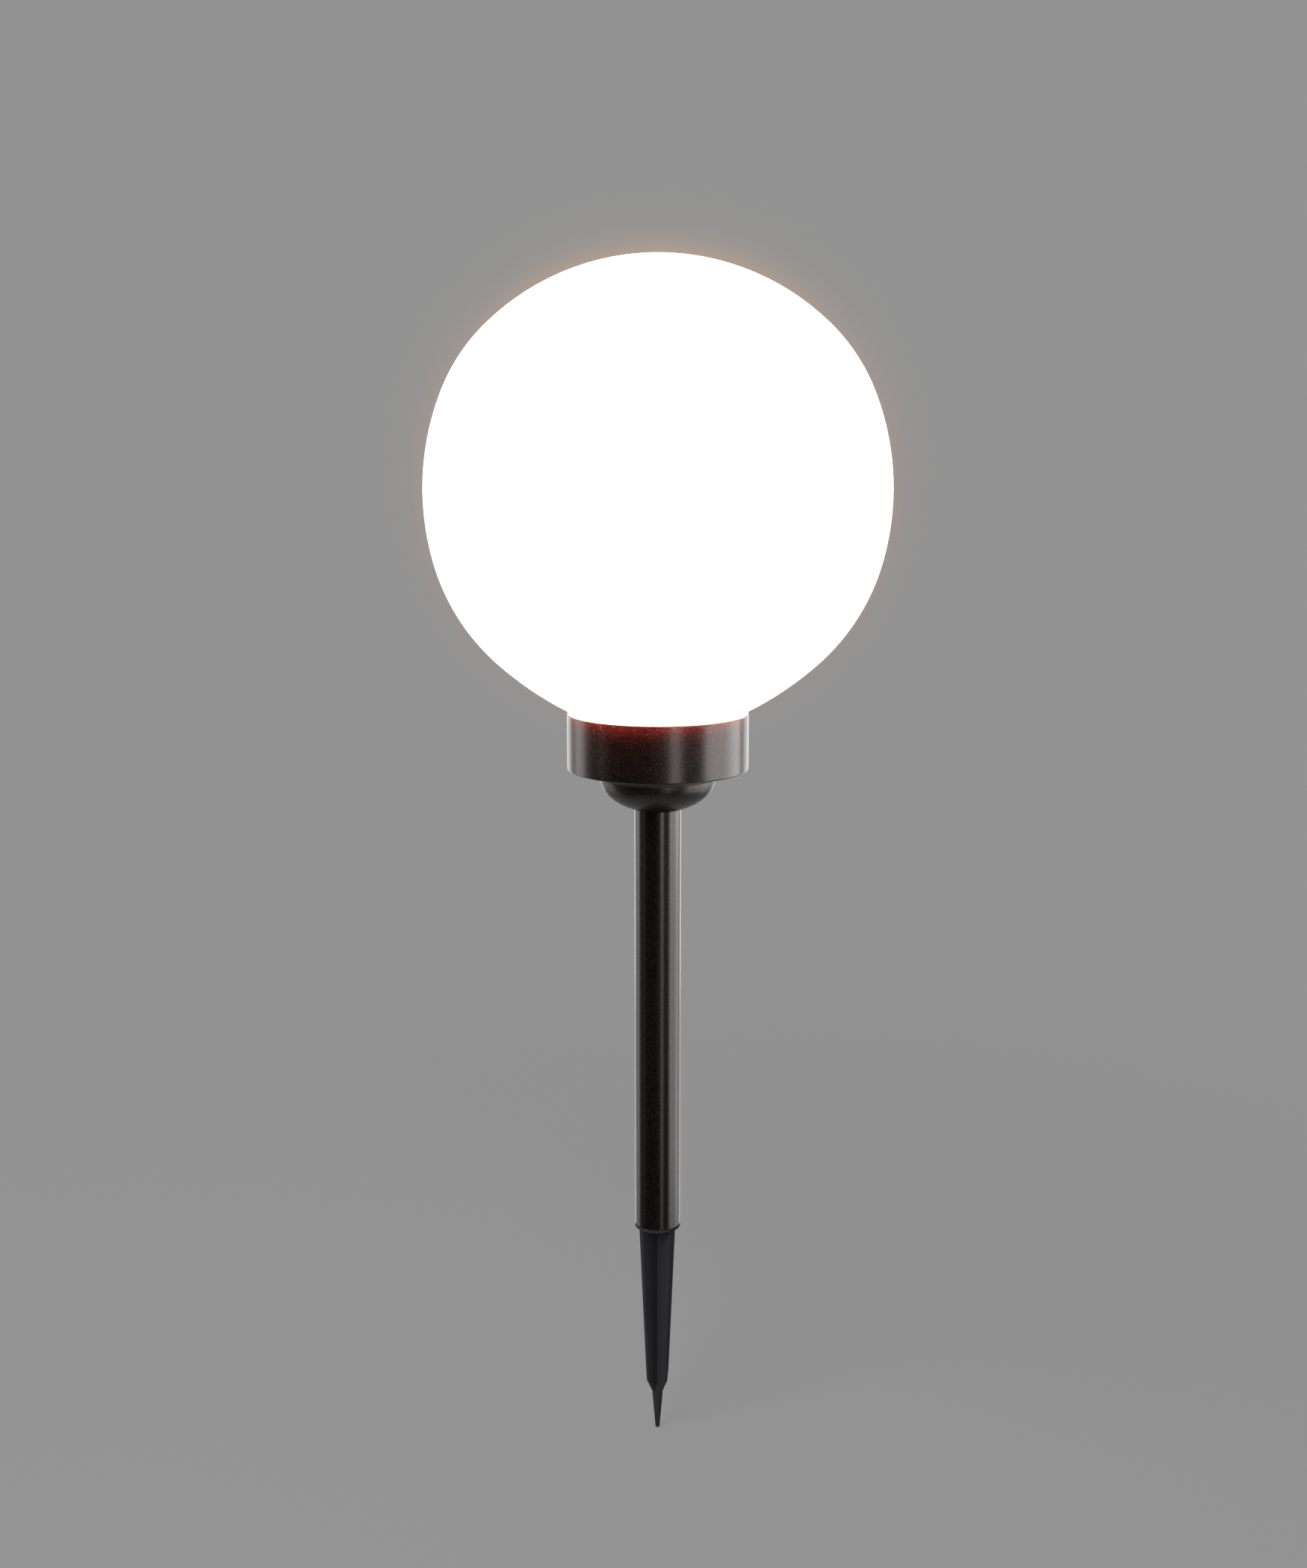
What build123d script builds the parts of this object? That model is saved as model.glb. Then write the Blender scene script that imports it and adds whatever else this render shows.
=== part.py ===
from build123d import *
from math import asin, cos, degrees, radians, sin
import os

# A solar garden globe light. An opal globe stands in a short metal collar on a
# slim pole, and a moulded stake carries the pole in the ground. The origin is on
# the pole's axis at the ground line, +Z is up and -Y is the front. All sizes in mm.

CENTRED = (Align.CENTER, Align.CENTER, Align.MIN)
HANGING = (Align.CENTER, Align.CENTER, Align.MAX)

# ---------------------------------------------------------------- driving sizes
# Clearances
fit_gap = 0.05             # running fit between parts that are pushed together
free_gap = 0.3             # between parts that only pass each other

# Ground stake
stake_length = 102.6       # ground line to the tip
stake_turn = 41.8          # degrees from +X to the first pair of blades
stake_ring_height = 1.6
blade_length = 76.1        # ground line to where the blades start to slant
blade_slant_height = 9.5
blade_reach_top = 10.3
blade_reach_low = 6.3
blade_thickness_top = 2.4
blade_thickness_low = 1.7
stake_core_radius = 2.4
stake_tip_radius = 1.0

# Pole and the two plugs pushed into its ends
pole_radius = 10.34
pole_wall = 1.0
pole_length = 207.8
plug_length = 24.0
plug_wall = 2.0
plug_rib_count = 6
plug_rib_width = 1.4
plug_rib_height = 0.45
plug_lead_in = 1.0

# Bowl under the collar, and the adaptor inside it
bowl_radius = 25.5
bowl_depth = 14.8          # depth of the rounded part, were it not holed for the pole
bowl_band_height = 4.4     # straight part under the collar
bowl_wall = 1.5
bowl_socket_wall = 2.0
adaptor_flange_height = 5.3
adaptor_flange_radius = 15.5

# Collar
collar_radius = 39.87
collar_height = 24.7
collar_wall = 1.2
collar_bottom_round = 0.7
collar_rim_round = 0.4

# Globe
globe_wall = 1.5
globe_radius = 100.0       # at its widest, and what the arcs of its outline are shares of
globe_crown_share = 1.056
globe_shoulder_share = 0.805
globe_flank_share = 1.111
globe_belly_share = 0.901
globe_throat_share = 1.448
globe_crown_turn = 43.25   # degrees that the outline turns along each arc
globe_shoulder_turn = 24.4
globe_flank_turn = 37.4
globe_belly_turn = 32.6
globe_seat_height = 1.5    # upright edge that stands on the collar's rim
globe_seat_inset = 0.45
neck_wall = 2.0
neck_depth = 12.0

# Lamp housing, a stepped cup that opens downwards, and its base plate
base_plate_height = 1.6
housing_wall = 1.6
housing_gasket_height = 0.8
neck_gasket_height = 2.0
ledge_height = 1.6
finger_room = 2.4          # space around the upper drum for the spring fingers
finger_count = 4
finger_width = 11.0
finger_thickness = 1.0
finger_height = 10.6
finger_bump_height = 2.0
finger_bump_drop = 4.0     # top of a finger down to the bottom of its bump
deck_drop = 1.5            # collar rim down to the top of the deck
deck_height = 3.0
deck_edge_round = 0.8
panel_recess_depth = 1.4
panel_recess_radius = 31.5

# Screws
screw_radius = 1.45
screw_head_radius = 2.7
screw_head_height = 1.8
screw_bite = 7.0           # depth that a screw goes into its boss
bowl_screw_circle = 20.2
bowl_boss_radius = 3.2
housing_screw_circle = 31.0
housing_screw_angle = 25.0
housing_boss_radius = 3.0
housing_boss_height = 10.3
board_screw_radius = 0.95
board_screw_head_radius = 1.8
board_screw_head_height = 1.2
board_screw_length = 4.0

# Rechargeable cell and its bay
cell_radius = 7.25
cell_can_length = 49.2
cell_nub_radius = 2.75
cell_nub_length = 1.3
cell_lift = 0.6            # cell above the base plate
bay_length = 58.0
bay_wall = 1.2
bay_height = 9.0
saddle_height = 4.0
saddle_thickness = 1.6
saddle_spacing = 30.0
contact_thickness = 0.4
contact_size = 10.0
contact_tab_width = 3.0
contact_tab_height = 3.2
leaf_width = 6.0
leaf_height = 9.0

# Control board
board_length = 28.0
board_width = 19.5
board_height = 1.2
board_front = 13.5         # axis to the board's nearer edge
post_height = 4.0
post_radius = 2.2
post_spacing = 21.0
post_setback = 6.5         # board's nearer edge to the posts
chip_length = 5.0
chip_width = 4.0
chip_height = 1.5
coil_radius = 3.0
coil_height = 4.5
capacitor_radius = 2.5
capacitor_height = 6.0
tall_part_spacing = 14.0
part_setback = 12.0        # board's nearer edge to the row of parts

# Slide switch
switch_length = 10.0
switch_width = 4.6
switch_setback = 17.1      # board's nearer edge to the switch
switch_travel = 3.0
stem_length = 2.4
stem_width = 2.0
knob_drop = 2.5            # below the collar's underside
knob_groove_depth = 0.3
knob_groove_width = 0.4
carriage_length = 4.4
carriage_width = 3.0
carriage_height = 1.6
switch_floor = 0.8

# Solar panel
strip_width = 8.0
strip_pitch = 8.8
strip_count = 6
strip_height = 0.35
panel_inner_radius = 11.0
panel_outer_radius = 30.0
window_height = 0.85

# Light source
light_board_radius = 8.5
light_board_height = 1.0
chip_light_size = 2.8
chip_light_height = 0.7
chip_light_count = 4
chip_light_circle = 4.6
dome_wall = 1.0
dome_side_height = 3.2

# Leads
lead_radius = 0.6
lead_gap = 2.4             # between the two leads of a pair
lead_bend = 2.0
light_lead_setback = 6.2   # axis to the hole for the light's leads
light_lead_drop = 1.6      # underside of the deck to where they bend
panel_lead_setback = 20.0
lead_hole_radius = 2.2

# --------------------------------------------------------------- derived places
pole_bore = pole_radius - pole_wall
plug_radius = pole_bore - fit_gap
pole_top = stake_ring_height + pole_length

collar_bottom = pole_top + adaptor_flange_height
collar_floor = collar_bottom + collar_wall
collar_rim = collar_bottom + collar_height
collar_bore = collar_radius - collar_wall
bowl_band_bottom = collar_bottom - bowl_band_height
bowl_socket_bore = pole_radius + free_gap
base_plate_top = collar_floor + base_plate_height

neck_radius = collar_bore - free_gap
neck_bore = neck_radius - neck_wall
neck_bottom = collar_rim - neck_depth
seat_radius = collar_radius - globe_seat_inset

housing_bottom = base_plate_top + housing_gasket_height
housing_radius = collar_bore - free_gap
drum_radius = neck_bore - finger_room
ledge_top = neck_bottom - neck_gasket_height
ledge_bottom = ledge_top - ledge_height
deck_top = collar_rim - deck_drop
deck_bottom = deck_top - deck_height
recess_floor = deck_top - panel_recess_depth
finger_radius = neck_bore - fit_gap
finger_back_radius = drum_radius + (finger_room - finger_thickness) / 2
finger_blank = 4 * finger_room
finger_bump_bottom = ledge_top + finger_height - finger_bump_drop

cell_axis = base_plate_top + cell_lift + cell_radius
contact_top = cell_axis + contact_size / 2 + contact_tab_height
bay_width = 2 * (cell_radius + free_gap)
bay_end = bay_length / 2
cell_front = bay_end - contact_thickness - cell_nub_length
cell_back = cell_front - cell_can_length

board_bottom = base_plate_top + post_height
board_top = board_bottom + board_height
board_middle = board_front + board_width / 2
post_place = board_front + post_setback
part_place = board_front + part_setback

switch_place = board_front + switch_setback
slider_place = -switch_travel / 2
carriage_bottom = base_plate_top + switch_floor
slot_length = stem_length + switch_travel + 2 * free_gap
slot_width = stem_width + 2 * free_gap

dome_bore = light_board_radius + free_gap
dome_radius = dome_bore + dome_wall
window_bore = dome_radius + free_gap

bowl_screw_spots = [(bowl_screw_circle, angle) for angle in (45, 135, 225, 315)]
housing_screw_spots = [
    (housing_screw_circle, angle)
    for angle in (housing_screw_angle, 180 - housing_screw_angle,
                  180 + housing_screw_angle, -housing_screw_angle)
]


def spot(place):
    """The X and Y of a place given as a radius and an angle."""
    radius, angle = place
    return radius * cos(radians(angle)), radius * sin(radians(angle))


def round_bar(radius, bottom, height, mode=Mode.ADD):
    """An upright cylinder on the axis."""
    with Locations((0, 0, bottom)):
        Cylinder(radius, height, align=CENTRED, mode=mode)


def finish(part, name):
    """Label a finished piece and write its file."""
    part.label = name
    export_step(part, f"parts/{name}.step")


os.makedirs("parts", exist_ok=True)


# ----------------------------------------------------------------- ground stake
def plug(root, direction):
    """A ribbed hollow plug that fits a pole's end, from its root up (1) or down (-1)."""
    core_radius = plug_radius - plug_rib_height
    lowest = min(root, root + direction * plug_length)
    round_bar(core_radius, lowest, plug_length)
    with BuildSketch(Plane.XY.offset(root)) as ribs:
        with PolarLocations(core_radius, plug_rib_count):
            Rectangle(2 * plug_rib_height, plug_rib_width)
        Circle(plug_radius, mode=Mode.INTERSECT)
    extrude(ribs.sketch, amount=direction * (plug_length - plug_lead_in))
    round_bar(core_radius - plug_wall, lowest, plug_length, Mode.SUBTRACT)


with BuildPart() as ground_stake:
    round_bar(pole_radius, 0, stake_ring_height)
    for turn in (stake_turn, stake_turn + 90):
        with BuildSketch(Plane.XY.rotated((0, 0, turn))):
            Rectangle(2 * blade_reach_top, blade_thickness_top)
        with BuildSketch(Plane.XY.offset(-blade_length).rotated((0, 0, turn))):
            Rectangle(2 * blade_reach_low, blade_thickness_low)
        loft(ruled=True)
        with BuildSketch(Plane.XY.offset(-blade_length).rotated((0, 0, turn))):
            Rectangle(2 * blade_reach_low, blade_thickness_low)
        with BuildSketch(Plane.XY.offset(-blade_length - blade_slant_height).rotated((0, 0, turn))):
            Rectangle(2 * stake_core_radius - blade_thickness_low, blade_thickness_low)
        loft(ruled=True)
    with BuildSketch(Plane.XZ):
        with BuildLine():
            shank_side = Line((stake_core_radius, 0),
                              (stake_core_radius, -blade_length - blade_slant_height))
            point_side = Line(shank_side @ 1, (stake_tip_radius, stake_tip_radius - stake_length))
            RadiusArc(point_side @ 1, (0, -stake_length), stake_tip_radius)
            Polyline((0, -stake_length), (0, 0), shank_side @ 0)
        make_face()
    revolve(axis=Axis.Z)
    plug(stake_ring_height, 1)
finish(ground_stake.part, "ground_stake")


# ------------------------------------------------------------------------- pole
with BuildPart() as pole_tube:
    round_bar(pole_radius, stake_ring_height, pole_length)
    round_bar(pole_bore, stake_ring_height, pole_length, Mode.SUBTRACT)
finish(pole_tube.part, "pole_tube")

with BuildPart() as pole_adaptor:
    round_bar(adaptor_flange_radius, pole_top, adaptor_flange_height)
    plug(pole_top, -1)
finish(pole_adaptor.part, "pole_adaptor")


# ------------------------------------------------------------------------- bowl
def bowl_section(inset):
    """Half of the bowl's outer section, or of its hollow when inset by the wall."""
    with BuildSketch(Plane.XZ) as section:
        with Locations((0, bowl_band_bottom)):
            Ellipse(bowl_radius - inset, bowl_depth - inset)
            Rectangle(2 * (bowl_radius - inset), bowl_band_height,
                      align=(Align.CENTER, Align.MIN))
        with Locations((0, collar_bottom)):
            Rectangle(bowl_radius, bowl_band_height + bowl_depth,
                      align=(Align.MIN, Align.MAX), mode=Mode.INTERSECT)
    return section.sketch


with BuildPart() as bowl_bosses:
    revolve(bowl_section(0), axis=Axis.Z)
    with BuildSketch(Plane.XY.offset(collar_bottom)):
        with Locations([spot(place) for place in bowl_screw_spots]):
            Circle(bowl_boss_radius)
        Circle(bowl_socket_bore + bowl_socket_wall)
    extrude(amount=-bowl_band_height - bowl_depth, mode=Mode.INTERSECT)
    round_bar(adaptor_flange_radius + free_gap, pole_top, adaptor_flange_height, Mode.SUBTRACT)

with BuildPart() as bowl_cap:
    revolve(bowl_section(0), axis=Axis.Z)
    revolve(bowl_section(bowl_wall), axis=Axis.Z, mode=Mode.SUBTRACT)
    add(bowl_bosses.part)
    round_bar(bowl_socket_bore, collar_bottom - bowl_band_height - bowl_depth,
              bowl_band_height + bowl_depth, Mode.SUBTRACT)
    with Locations([(*spot(place), collar_bottom) for place in bowl_screw_spots]):
        Cylinder(screw_radius + fit_gap, screw_bite + free_gap, align=HANGING, mode=Mode.SUBTRACT)
finish(bowl_cap.part, "bowl_cap")


# ----------------------------------------------------------------------- collar
def switch_slot(bottom, height):
    """Cut the slot that the switch's stem travels in."""
    with Locations((0, switch_place, bottom)):
        Box(slot_length, slot_width, height, align=CENTRED, mode=Mode.SUBTRACT)


with BuildPart() as collar_shell:
    round_bar(collar_radius, collar_bottom, collar_height)
    fillet(edges().sort_by(Axis.Z)[0], collar_bottom_round)
    fillet(edges().sort_by(Axis.Z)[-1], collar_rim_round)
    round_bar(collar_bore, collar_floor, collar_height, Mode.SUBTRACT)
    with Locations([(*spot(place), collar_bottom)
                    for place in bowl_screw_spots + housing_screw_spots]):
        Cylinder(screw_radius + fit_gap, collar_wall, align=CENTRED, mode=Mode.SUBTRACT)
    switch_slot(collar_bottom, collar_wall)
finish(collar_shell.part, "collar_shell")


# ------------------------------------------------------------------- base plate
with BuildPart() as base_plate:
    round_bar(housing_radius, collar_floor, base_plate_height)
    with Locations((0, 0, base_plate_top)):
        Box(bay_length + 2 * bay_wall, bay_width + 2 * bay_wall, bay_height, align=CENTRED)
        Box(bay_length, bay_width, bay_height, align=CENTRED, mode=Mode.SUBTRACT)
    with Locations((-saddle_spacing / 2, 0, base_plate_top),
                   (saddle_spacing / 2, 0, base_plate_top)):
        Box(saddle_thickness, bay_width, saddle_height, align=CENTRED)
    with BuildSketch(Plane.YZ.offset(-bay_end)):
        with Locations((0, cell_axis)):
            Circle(cell_radius + fit_gap)
    extrude(amount=bay_length, mode=Mode.SUBTRACT)
    with Locations((-post_spacing / 2, post_place, base_plate_top),
                   (post_spacing / 2, post_place, base_plate_top)):
        Cylinder(post_radius, post_height, align=CENTRED)
    with Locations((-post_spacing / 2, post_place, board_bottom),
                   (post_spacing / 2, post_place, board_bottom)):
        Cylinder(board_screw_radius + fit_gap, board_screw_length - board_height + free_gap,
                 align=HANGING, mode=Mode.SUBTRACT)
    with Locations([(*spot(place), collar_floor)
                    for place in bowl_screw_spots + housing_screw_spots]):
        Cylinder(screw_radius + fit_gap, base_plate_height, align=CENTRED, mode=Mode.SUBTRACT)
    switch_slot(collar_floor, base_plate_height)
finish(base_plate.part, "base_plate")


# ---------------------------------------------------------------------- housing
with BuildPart() as lamp_housing:
    round_bar(housing_radius, housing_bottom, ledge_top - housing_bottom)
    round_bar(drum_radius, ledge_top, deck_top - ledge_top)
    fillet(edges().sort_by(Axis.Z)[-1], deck_edge_round)
    round_bar(housing_radius - housing_wall, housing_bottom, ledge_bottom - housing_bottom,
              Mode.SUBTRACT)
    round_bar(drum_radius - housing_wall, ledge_bottom, deck_bottom - ledge_bottom, Mode.SUBTRACT)
    round_bar(panel_recess_radius, recess_floor, panel_recess_depth, Mode.SUBTRACT)
    with BuildSketch(Plane.XY.offset(ledge_top)):
        with PolarLocations(finger_radius, finger_count, start_angle=45):
            Rectangle(finger_blank, finger_width)
        Circle(finger_back_radius + finger_thickness, mode=Mode.INTERSECT)
        Circle(finger_back_radius, mode=Mode.SUBTRACT)
    extrude(amount=finger_height)
    with BuildSketch(Plane.XY.offset(finger_bump_bottom)):
        with PolarLocations(finger_radius, finger_count, start_angle=45):
            Rectangle(finger_blank, finger_width)
        Circle(finger_radius, mode=Mode.INTERSECT)
        Circle(finger_back_radius, mode=Mode.SUBTRACT)
    extrude(amount=finger_bump_height)
    with Locations([(*spot(place), base_plate_top) for place in housing_screw_spots]):
        Cylinder(housing_boss_radius, housing_boss_height, align=CENTRED)
    with Locations([(*spot(place), base_plate_top) for place in housing_screw_spots]):
        Cylinder(screw_radius + fit_gap, screw_bite + free_gap, align=CENTRED, mode=Mode.SUBTRACT)
    # Room for the cell bay, its contacts and their leads
    with Locations((0, 0, base_plate_top)):
        Box(bay_length + 2 * (bay_wall + free_gap), bay_width + 2 * (bay_wall + free_gap),
            contact_top + free_gap - base_plate_top, align=CENTRED, mode=Mode.SUBTRACT)
    with Locations((0, light_lead_setback, deck_bottom), (0, panel_lead_setback, deck_bottom)):
        Cylinder(lead_hole_radius, deck_height, align=CENTRED, mode=Mode.SUBTRACT)
finish(lamp_housing.part, "lamp_housing")

with BuildPart() as housing_gasket:
    round_bar(housing_radius, base_plate_top, housing_gasket_height)
    round_bar(housing_radius - housing_wall, base_plate_top, housing_gasket_height, Mode.SUBTRACT)
finish(housing_gasket.part, "housing_gasket")

with BuildPart() as neck_gasket:
    round_bar(neck_radius, ledge_top, neck_gasket_height)
    round_bar(neck_bore, ledge_top, neck_gasket_height, Mode.SUBTRACT)
finish(neck_gasket.part, "neck_gasket")


# ------------------------------------------------------------------------ globe
globe_arcs = [
    (globe_crown_share * globe_radius, globe_crown_turn),
    (globe_shoulder_share * globe_radius, globe_shoulder_turn),
    (globe_flank_share * globe_radius, globe_flank_turn),
    (globe_belly_share * globe_radius, globe_belly_turn),
]
globe_throat_radius = globe_throat_share * globe_radius


def throat(inset, end_radius):
    """How far the throat arc turns to end at a radius, and its end's depth below the crown."""
    reach, depth, heading = 0, 0, 0
    for radius, turn in globe_arcs:
        ahead = radians(heading + turn)
        behind = radians(heading)
        reach += (radius - inset) * (sin(ahead) - sin(behind))
        depth += (radius - inset) * (cos(behind) - cos(ahead))
        heading += turn
    rise = (end_radius - reach) / (globe_throat_radius - inset) + sin(radians(heading))
    end_heading = 180 - degrees(asin(rise))
    depth += (globe_throat_radius - inset) * (cos(radians(heading)) - cos(radians(end_heading)))
    return end_heading - heading, depth


globe_top = collar_rim + globe_seat_height + throat(0, seat_radius)[1]


def globe_side(inset, end_radius):
    """The arcs from the crown down to the throat, inset from the outside."""
    start = Vector(0, globe_top - inset)
    heading = Vector(1, 0)
    throat_turn = throat(inset, end_radius)[0]
    for radius, turn in globe_arcs + [(globe_throat_radius, throat_turn)]:
        arc = JernArc(start, heading, radius - inset, -turn)
        start = arc @ 1
        heading = arc % 1
    return start


with BuildPart() as globe:
    with BuildSketch(Plane.XZ):
        with BuildLine():
            globe_side(0, seat_radius)
            Polyline((seat_radius, collar_rim + globe_seat_height), (seat_radius, collar_rim),
                     (neck_radius, collar_rim), (neck_radius, neck_bottom), (0, neck_bottom),
                     (0, globe_top))
        make_face()
        with BuildLine():
            throat_end = globe_side(globe_wall, neck_bore)
            Polyline(throat_end, (neck_bore, neck_bottom), (0, neck_bottom),
                     (0, globe_top - globe_wall))
        make_face(mode=Mode.SUBTRACT)
    revolve(axis=Axis.Z)
finish(globe.part, "globe")


# ----------------------------------------------------------------------- screws
with BuildPart() as bowl_screws:
    with Locations([(*spot(place), base_plate_top) for place in bowl_screw_spots]):
        Cylinder(screw_head_radius, screw_head_height, align=CENTRED)
        Cylinder(screw_radius, base_plate_height + collar_wall + screw_bite, align=HANGING)
finish(bowl_screws.part, "bowl_screws")

with BuildPart() as housing_screws:
    with Locations([(*spot(place), collar_bottom) for place in housing_screw_spots]):
        Cylinder(screw_head_radius, screw_head_height, align=HANGING)
        Cylinder(screw_radius, collar_wall + base_plate_height + screw_bite, align=CENTRED)
finish(housing_screws.part, "housing_screws")

with BuildPart() as board_screws:
    with Locations((-post_spacing / 2, post_place, board_top),
                   (post_spacing / 2, post_place, board_top)):
        Cylinder(board_screw_head_radius, board_screw_head_height, align=CENTRED)
        Cylinder(board_screw_radius, board_screw_length, align=HANGING)
finish(board_screws.part, "board_screws")


# -------------------------------------------------------------- cell and contacts
with BuildPart() as rechargeable_cell:
    with BuildSketch(Plane.YZ.offset(cell_back)):
        with Locations((0, cell_axis)):
            Circle(cell_radius)
    extrude(amount=cell_can_length)
    with BuildSketch(Plane.YZ.offset(cell_front)):
        with Locations((0, cell_axis)):
            Circle(cell_nub_radius)
    extrude(amount=cell_nub_length)
finish(rechargeable_cell.part, "rechargeable_cell")


def contact_back(face, direction):
    """A square contact with a solder tab, against an end wall of the bay."""
    with BuildSketch(Plane.YZ.offset(face)) as blank:
        with Locations((0, cell_axis)):
            Rectangle(contact_size, contact_size)
        with Locations((0, cell_axis + contact_size / 2)):
            Rectangle(contact_tab_width, contact_tab_height, align=(Align.CENTER, Align.MIN))
    extrude(blank.sketch, amount=direction * contact_thickness)


with BuildPart() as contact_plate:
    contact_back(bay_end, -1)
finish(contact_plate.part, "contact_plate")

with BuildPart() as contact_leaf:
    contact_back(-bay_end, 1)
    leaf_foot = contact_thickness - bay_end
    with BuildSketch(Plane.XZ.offset(-leaf_width / 2)):
        with BuildLine():
            ThreePointArc((leaf_foot, cell_axis - leaf_height / 2), (cell_back, cell_axis),
                          (leaf_foot, cell_axis + leaf_height / 2))
            Line((leaf_foot, cell_axis + leaf_height / 2),
                 (leaf_foot, cell_axis + leaf_height / 2 - contact_thickness))
            ThreePointArc((leaf_foot, cell_axis + leaf_height / 2 - contact_thickness),
                          (cell_back - contact_thickness, cell_axis),
                          (leaf_foot, cell_axis - leaf_height / 2 + contact_thickness))
            Line((leaf_foot, cell_axis - leaf_height / 2 + contact_thickness),
                 (leaf_foot, cell_axis - leaf_height / 2))
        make_face()
    extrude(amount=leaf_width)
finish(contact_leaf.part, "contact_leaf")


# ---------------------------------------------------------------- control board
with BuildPart() as control_board:
    with Locations((0, board_middle, board_bottom)):
        Box(board_length, board_width, board_height, align=CENTRED)
    with Locations((-post_spacing / 2, post_place, board_bottom),
                   (post_spacing / 2, post_place, board_bottom)):
        Cylinder(board_screw_radius + fit_gap, board_height, align=CENTRED, mode=Mode.SUBTRACT)
finish(control_board.part, "control_board")

with BuildPart() as driver_chip:
    with Locations((0, part_place, board_top)):
        Box(chip_length, chip_width, chip_height, align=CENTRED)
finish(driver_chip.part, "driver_chip")

with BuildPart() as charging_coil:
    with Locations((-tall_part_spacing / 2, part_place, board_top)):
        Cylinder(coil_radius, coil_height, align=CENTRED)
finish(charging_coil.part, "charging_coil")

with BuildPart() as capacitor:
    with Locations((tall_part_spacing / 2, part_place, board_top)):
        Cylinder(capacitor_radius, capacitor_height, align=CENTRED)
finish(capacitor.part, "capacitor")


# ----------------------------------------------------------------- slide switch
with BuildPart() as switch_body:
    with Locations((0, switch_place, base_plate_top)):
        Box(switch_length, switch_width, post_height, align=CENTRED)
    with Locations((0, switch_place, carriage_bottom)):
        Box(carriage_length + switch_travel + 2 * free_gap, carriage_width + 2 * free_gap,
            carriage_height + free_gap, align=CENTRED, mode=Mode.SUBTRACT)
    switch_slot(base_plate_top, switch_floor)
finish(switch_body.part, "switch_body")

with BuildPart() as switch_slider:
    knob_bottom = collar_bottom - knob_drop
    with Locations((slider_place, switch_place, carriage_bottom)):
        Box(carriage_length, carriage_width, carriage_height, align=CENTRED)
    with Locations((slider_place, switch_place, knob_bottom)):
        Box(stem_length, stem_width, carriage_bottom - knob_bottom, align=CENTRED)
    with Locations([(slider_place + step * 2 * knob_groove_width, switch_place, knob_bottom)
                    for step in (-1, 0, 1)]):
        Box(knob_groove_width, stem_width, knob_groove_depth, align=CENTRED, mode=Mode.SUBTRACT)
finish(switch_slider.part, "switch_slider")


# ------------------------------------------------------- solar panel and its window
with BuildPart() as solar_cells:
    with BuildSketch(Plane.XY.offset(recess_floor)):
        with GridLocations(strip_pitch, 0, strip_count, 1):
            Rectangle(strip_width, 2 * panel_outer_radius)
        Circle(panel_outer_radius, mode=Mode.INTERSECT)
        Circle(panel_inner_radius, mode=Mode.SUBTRACT)
    extrude(amount=strip_height)
finish(solar_cells.part, "solar_cells")

with BuildPart() as panel_window:
    round_bar(panel_recess_radius - free_gap, recess_floor + strip_height, window_height)
    round_bar(window_bore, recess_floor + strip_height, window_height, Mode.SUBTRACT)
finish(panel_window.part, "panel_window")


# ----------------------------------------------------------------- light source
with BuildPart() as light_board:
    round_bar(light_board_radius, recess_floor, light_board_height)
finish(light_board.part, "light_board")

with BuildPart() as light_chips:
    with BuildSketch(Plane.XY.offset(recess_floor + light_board_height)):
        with PolarLocations(chip_light_circle, chip_light_count):
            Rectangle(chip_light_size, chip_light_size)
    extrude(amount=chip_light_height)
finish(light_chips.part, "light_chips")


def dome_section(radius):
    """Half of the dome's section: an upright side under a half round."""
    side_top = recess_floor + dome_side_height
    with BuildSketch(Plane.XZ) as section:
        with BuildLine():
            crown = CenterArc((0, side_top), radius, 0, 90)
            Polyline(crown @ 1, (0, recess_floor), (radius, recess_floor), crown @ 0)
        make_face()
    return section.sketch


with BuildPart() as light_dome:
    revolve(dome_section(dome_radius), axis=Axis.Z)
    revolve(dome_section(dome_bore), axis=Axis.Z, mode=Mode.SUBTRACT)
finish(light_dome.part, "light_dome")


# ------------------------------------------------------------------------ leads
def lead(points):
    """A lead along straight runs joined by arcs."""
    with BuildLine() as route:
        FilletPolyline(*points, radius=lead_bend)
    with BuildSketch(Plane(route.line @ 0, z_dir=route.line % 0)) as section:
        Circle(lead_radius)
    sweep(section.sketch, path=route.line)


lead_bend_level = deck_bottom - light_lead_drop
tab_level = contact_top - contact_tab_height / 2
tab_face = bay_end - contact_thickness


def light_lead(side):
    """From the light board, down through the deck and across to the board."""
    return [
        (side * lead_gap / 2, light_lead_setback, recess_floor),
        (side * lead_gap / 2, light_lead_setback, lead_bend_level),
        (side * lead_gap / 2, board_front + lead_gap, lead_bend_level),
        (side * lead_gap / 2, board_front + lead_gap, board_top),
    ]


def cell_lead(side):
    """From a contact's tab, over the bay's side wall and down to the board."""
    return [
        (side * (tab_face - lead_radius), 0, tab_level),
        (side * (tab_face - lead_radius), bay_width / 2, tab_level),
        (side * (board_length / 2 - lead_gap), board_front + lead_gap, tab_level),
        (side * (board_length / 2 - lead_gap), board_front + lead_gap, board_top),
    ]


for side, name in ((1, "red_leads"), (-1, "black_leads")):
    with BuildPart() as leads:
        lead(light_lead(side))
        lead(cell_lead(side))
        with Locations((side * lead_gap / 2, panel_lead_setback, board_top)):
            Cylinder(lead_radius, recess_floor - board_top, align=CENTRED)
    finish(leads.part, name)
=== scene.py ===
"""Finishes and studio for a solar garden globe light.

An opal globe stands in a short metal collar on a slim pole, and a moulded stake
carries the pole in the ground. All lengths are in metres, in the frame of the
CAD model: the origin is on the pole's axis at the ground line, +Z is up and -Y
is the front.
"""

import math

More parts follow.
